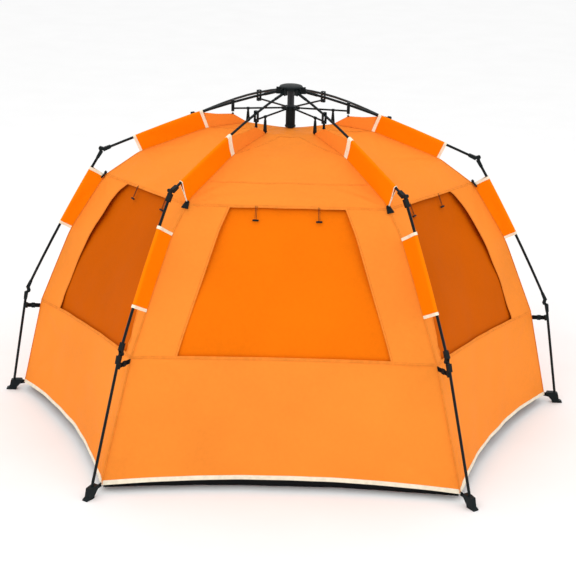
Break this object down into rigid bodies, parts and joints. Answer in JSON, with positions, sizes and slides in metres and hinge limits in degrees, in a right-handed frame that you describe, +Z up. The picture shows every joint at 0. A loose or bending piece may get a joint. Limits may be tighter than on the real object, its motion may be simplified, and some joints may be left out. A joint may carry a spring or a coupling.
{
  "type": "pop-up tarp shelter",
  "caption": "Hexagonal pop-up fabric shelter hung inside a folding outside umbrella frame with jointed legs, bowed ribs, runner and domed hub.",
  "frame": {"origin": "on the ground, straight under the hub", "axes": "+Z up, +X along the two side legs to the right, -Y towards the front wall"},
  "size_m": [2.556, 2.2398, 1.4525],
  "materials": {
    "black_plastic": "fine moulded texture",
    "black_pole": "satin glass-fibre rod",
    "dark_metal": "dark anodised",
    "orange_fabric": "coated plain-weave nylon"
  },
  "bodies": {
    "hub": {"hub_body": "black_plastic", "hub_cap": "black_plastic", "column": "dark_metal", "canopy_roof": "orange_fabric", "wall_right_rear": "orange_fabric", "wall_rear": "orange_fabric", "wall_left_rear": "orange_fabric", "wall_left_front": "orange_fabric", "wall_front": "orange_fabric", "wall_right_front": "orange_fabric"},
    "runner": {"runner": "black_plastic"},
    "rib_right": {"rib_right": "black_pole", "bracket_right": "black_plastic", "upper_knee_right": "black_plastic"},
    "strut_right": {"strut_right": "black_pole"},
    "upper_leg_right": {"upper_leg_right": "black_pole", "lower_knee_right": "black_plastic"},
    "lower_leg_right": {"lower_leg_right": "black_pole", "foot_right": "black_plastic"},
    "rib_rear_right": {"rib_rear_right": "black_pole", "bracket_rear_right": "black_plastic", "upper_knee_rear_right": "black_plastic"},
    "strut_rear_right": {"strut_rear_right": "black_pole"},
    "upper_leg_rear_right": {"upper_leg_rear_right": "black_pole", "lower_knee_rear_right": "black_plastic"},
    "lower_leg_rear_right": {"lower_leg_rear_right": "black_pole", "foot_rear_right": "black_plastic"},
    "rib_rear_left": {"rib_rear_left": "black_pole", "bracket_rear_left": "black_plastic", "upper_knee_rear_left": "black_plastic"},
    "strut_rear_left": {"strut_rear_left": "black_pole"},
    "upper_leg_rear_left": {"upper_leg_rear_left": "black_pole", "lower_knee_rear_left": "black_plastic"},
    "lower_leg_rear_left": {"lower_leg_rear_left": "black_pole", "foot_rear_left": "black_plastic"},
    "rib_left": {"rib_left": "black_pole", "bracket_left": "black_plastic", "upper_knee_left": "black_plastic"},
    "strut_left": {"strut_left": "black_pole"},
    "upper_leg_left": {"upper_leg_left": "black_pole", "lower_knee_left": "black_plastic"},
    "lower_leg_left": {"lower_leg_left": "black_pole", "foot_left": "black_plastic"},
    "rib_front_left": {"rib_front_left": "black_pole", "bracket_front_left": "black_plastic", "upper_knee_front_left": "black_plastic"},
    "strut_front_left": {"strut_front_left": "black_pole"},
    "upper_leg_front_left": {"upper_leg_front_left": "black_pole", "lower_knee_front_left": "black_plastic"},
    "lower_leg_front_left": {"lower_leg_front_left": "black_pole", "foot_front_left": "black_plastic"},
    "rib_front_right": {"rib_front_right": "black_pole", "bracket_front_right": "black_plastic", "upper_knee_front_right": "black_plastic"},
    "strut_front_right": {"strut_front_right": "black_pole"},
    "upper_leg_front_right": {"upper_leg_front_right": "black_pole", "lower_knee_front_right": "black_plastic"},
    "lower_leg_front_right": {"lower_leg_front_right": "black_pole", "foot_front_right": "black_plastic"}
  },
  "joints": [
    {"name": "runner_slide", "type": "slide", "parent": "hub", "child": "runner", "axis": [0, 0, 1], "range_m": [0, 0.072]},
    {"name": "rib_right_hinge", "type": "hinge", "parent": "hub", "child": "rib_right", "pos_m": [0.056, 0, 1.422], "axis": [0, 1, 0], "range_deg": [0, 62], "deforming": ["canopy_roof", "wall_right_rear", "wall_rear", "wall_left_rear", "wall_left_front", "wall_front", "wall_right_front"]},
    {"name": "strut_right_hinge", "type": "hinge", "parent": "runner", "child": "strut_right", "pos_m": [0.034, 0, 1.35], "axis": [0, 1, 0], "range_deg": [0, 76]},
    {"name": "upper_knee_right_hinge", "type": "hinge", "parent": "rib_right", "child": "upper_leg_right", "pos_m": [0.82699, 0, 1.15087], "axis": [0, -1, 0], "range_deg": [0, 212]},
    {"name": "lower_knee_right_hinge", "type": "hinge", "parent": "upper_leg_right", "child": "lower_leg_right", "pos_m": [1.16136, 0, 0.48294], "axis": [0, 1, 0], "range_deg": [0, 149]},
    {"name": "rib_rear_right_hinge", "type": "hinge", "parent": "hub", "child": "rib_rear_right", "pos_m": [0.03196, 0.04598, 1.422], "axis": [-0.8211, 0.5707, 0], "range_deg": [0, 62]},
    {"name": "strut_rear_right_hinge", "type": "hinge", "parent": "runner", "child": "strut_rear_right", "pos_m": [0.0194, 0.02792, 1.35], "axis": [-0.8211, 0.5707, 0], "range_deg": [0, 76]},
    {"name": "upper_knee_rear_right_hinge", "type": "hinge", "parent": "rib_rear_right", "child": "upper_leg_rear_right", "pos_m": [0.46851, 0.6741, 1.15791], "axis": [0.8211, -0.5707, 0], "range_deg": [0, 212]},
    {"name": "lower_knee_rear_right_hinge", "type": "hinge", "parent": "upper_leg_rear_right", "child": "lower_leg_rear_right", "pos_m": [0.64191, 0.92359, 0.55615], "axis": [-0.8211, 0.5707, 0], "range_deg": [0, 159]},
    {"name": "rib_rear_left_hinge", "type": "hinge", "parent": "hub", "child": "rib_rear_left", "pos_m": [-0.03196, 0.04598, 1.422], "axis": [-0.8211, -0.5707, 0], "range_deg": [0, 62]},
    {"name": "strut_rear_left_hinge", "type": "hinge", "parent": "runner", "child": "strut_rear_left", "pos_m": [-0.0194, 0.02792, 1.35], "axis": [-0.8211, -0.5707, 0], "range_deg": [0, 76]},
    {"name": "upper_knee_rear_left_hinge", "type": "hinge", "parent": "rib_rear_left", "child": "upper_leg_rear_left", "pos_m": [-0.46851, 0.6741, 1.15791], "axis": [0.8211, 0.5707, 0], "range_deg": [0, 212]},
    {"name": "lower_knee_rear_left_hinge", "type": "hinge", "parent": "upper_leg_rear_left", "child": "lower_leg_rear_left", "pos_m": [-0.64191, 0.92359, 0.55615], "axis": [-0.8211, -0.5707, 0], "range_deg": [0, 159]},
    {"name": "rib_left_hinge", "type": "hinge", "parent": "hub", "child": "rib_left", "pos_m": [-0.056, 0, 1.422], "axis": [0, -1, 0], "range_deg": [0, 62]},
    {"name": "strut_left_hinge", "type": "hinge", "parent": "runner", "child": "strut_left", "pos_m": [-0.034, 0, 1.35], "axis": [0, -1, 0], "range_deg": [0, 76]},
    {"name": "upper_knee_left_hinge", "type": "hinge", "parent": "rib_left", "child": "upper_leg_left", "pos_m": [-0.82699, 0, 1.15087], "axis": [0, 1, 0], "range_deg": [0, 212]},
    {"name": "lower_knee_left_hinge", "type": "hinge", "parent": "upper_leg_left", "child": "lower_leg_left", "pos_m": [-1.16136, 0, 0.48294], "axis": [0, -1, 0], "range_deg": [0, 149]},
    {"name": "rib_front_left_hinge", "type": "hinge", "parent": "hub", "child": "rib_front_left", "pos_m": [-0.03196, -0.04598, 1.422], "axis": [0.8211, -0.5707, 0], "range_deg": [0, 62]},
    {"name": "strut_front_left_hinge", "type": "hinge", "parent": "runner", "child": "strut_front_left", "pos_m": [-0.0194, -0.02792, 1.35], "axis": [0.8211, -0.5707, 0], "range_deg": [0, 76]},
    {"name": "upper_knee_front_left_hinge", "type": "hinge", "parent": "rib_front_left", "child": "upper_leg_front_left", "pos_m": [-0.46851, -0.6741, 1.15791], "axis": [-0.8211, 0.5707, 0], "range_deg": [0, 212]},
    {"name": "lower_knee_front_left_hinge", "type": "hinge", "parent": "upper_leg_front_left", "child": "lower_leg_front_left", "pos_m": [-0.64191, -0.92359, 0.55615], "axis": [0.8211, -0.5707, 0], "range_deg": [0, 159]},
    {"name": "rib_front_right_hinge", "type": "hinge", "parent": "hub", "child": "rib_front_right", "pos_m": [0.03196, -0.04598, 1.422], "axis": [0.8211, 0.5707, 0], "range_deg": [0, 62]},
    {"name": "strut_front_right_hinge", "type": "hinge", "parent": "runner", "child": "strut_front_right", "pos_m": [0.0194, -0.02792, 1.35], "axis": [0.8211, 0.5707, 0], "range_deg": [0, 76]},
    {"name": "upper_knee_front_right_hinge", "type": "hinge", "parent": "rib_front_right", "child": "upper_leg_front_right", "pos_m": [0.46851, -0.6741, 1.15791], "axis": [-0.8211, -0.5707, 0], "range_deg": [0, 212]},
    {"name": "lower_knee_front_right_hinge", "type": "hinge", "parent": "upper_leg_front_right", "child": "lower_leg_front_right", "pos_m": [0.64191, -0.92359, 0.55615], "axis": [0.8211, 0.5707, 0], "range_deg": [0, 159]}
  ],
  "couplings": [
    {"joint": "runner_slide", "follows": "rib_right_hinge", "m_per_rad": 0.066537},
    {"joint": "strut_right_hinge", "follows": "rib_right_hinge", "ratio": 1.2258},
    {"joint": "upper_knee_right_hinge", "follows": "rib_right_hinge", "ratio": 3.4194},
    {"joint": "lower_knee_right_hinge", "follows": "rib_right_hinge", "ratio": 2.4032},
    {"joint": "rib_rear_right_hinge", "follows": "rib_right_hinge", "ratio": 1},
    {"joint": "strut_rear_right_hinge", "follows": "rib_right_hinge", "ratio": 1.2258},
    {"joint": "upper_knee_rear_right_hinge", "follows": "rib_right_hinge", "ratio": 3.4194},
    {"joint": "lower_knee_rear_right_hinge", "follows": "rib_right_hinge", "ratio": 2.5645},
    {"joint": "rib_rear_left_hinge", "follows": "rib_right_hinge", "ratio": 1},
    {"joint": "strut_rear_left_hinge", "follows": "rib_right_hinge", "ratio": 1.2258},
    {"joint": "upper_knee_rear_left_hinge", "follows": "rib_right_hinge", "ratio": 3.4194},
    {"joint": "lower_knee_rear_left_hinge", "follows": "rib_right_hinge", "ratio": 2.5645},
    {"joint": "rib_left_hinge", "follows": "rib_right_hinge", "ratio": 1},
    {"joint": "strut_left_hinge", "follows": "rib_right_hinge", "ratio": 1.2258},
    {"joint": "upper_knee_left_hinge", "follows": "rib_right_hinge", "ratio": 3.4194},
    {"joint": "lower_knee_left_hinge", "follows": "rib_right_hinge", "ratio": 2.4032},
    {"joint": "rib_front_left_hinge", "follows": "rib_right_hinge", "ratio": 1},
    {"joint": "strut_front_left_hinge", "follows": "rib_right_hinge", "ratio": 1.2258},
    {"joint": "upper_knee_front_left_hinge", "follows": "rib_right_hinge", "ratio": 3.4194},
    {"joint": "lower_knee_front_left_hinge", "follows": "rib_right_hinge", "ratio": 2.5645},
    {"joint": "rib_front_right_hinge", "follows": "rib_right_hinge", "ratio": 1},
    {"joint": "strut_front_right_hinge", "follows": "rib_right_hinge", "ratio": 1.2258},
    {"joint": "upper_knee_front_right_hinge", "follows": "rib_right_hinge", "ratio": 3.4194},
    {"joint": "lower_knee_front_right_hinge", "follows": "rib_right_hinge", "ratio": 2.5645}
  ]
}
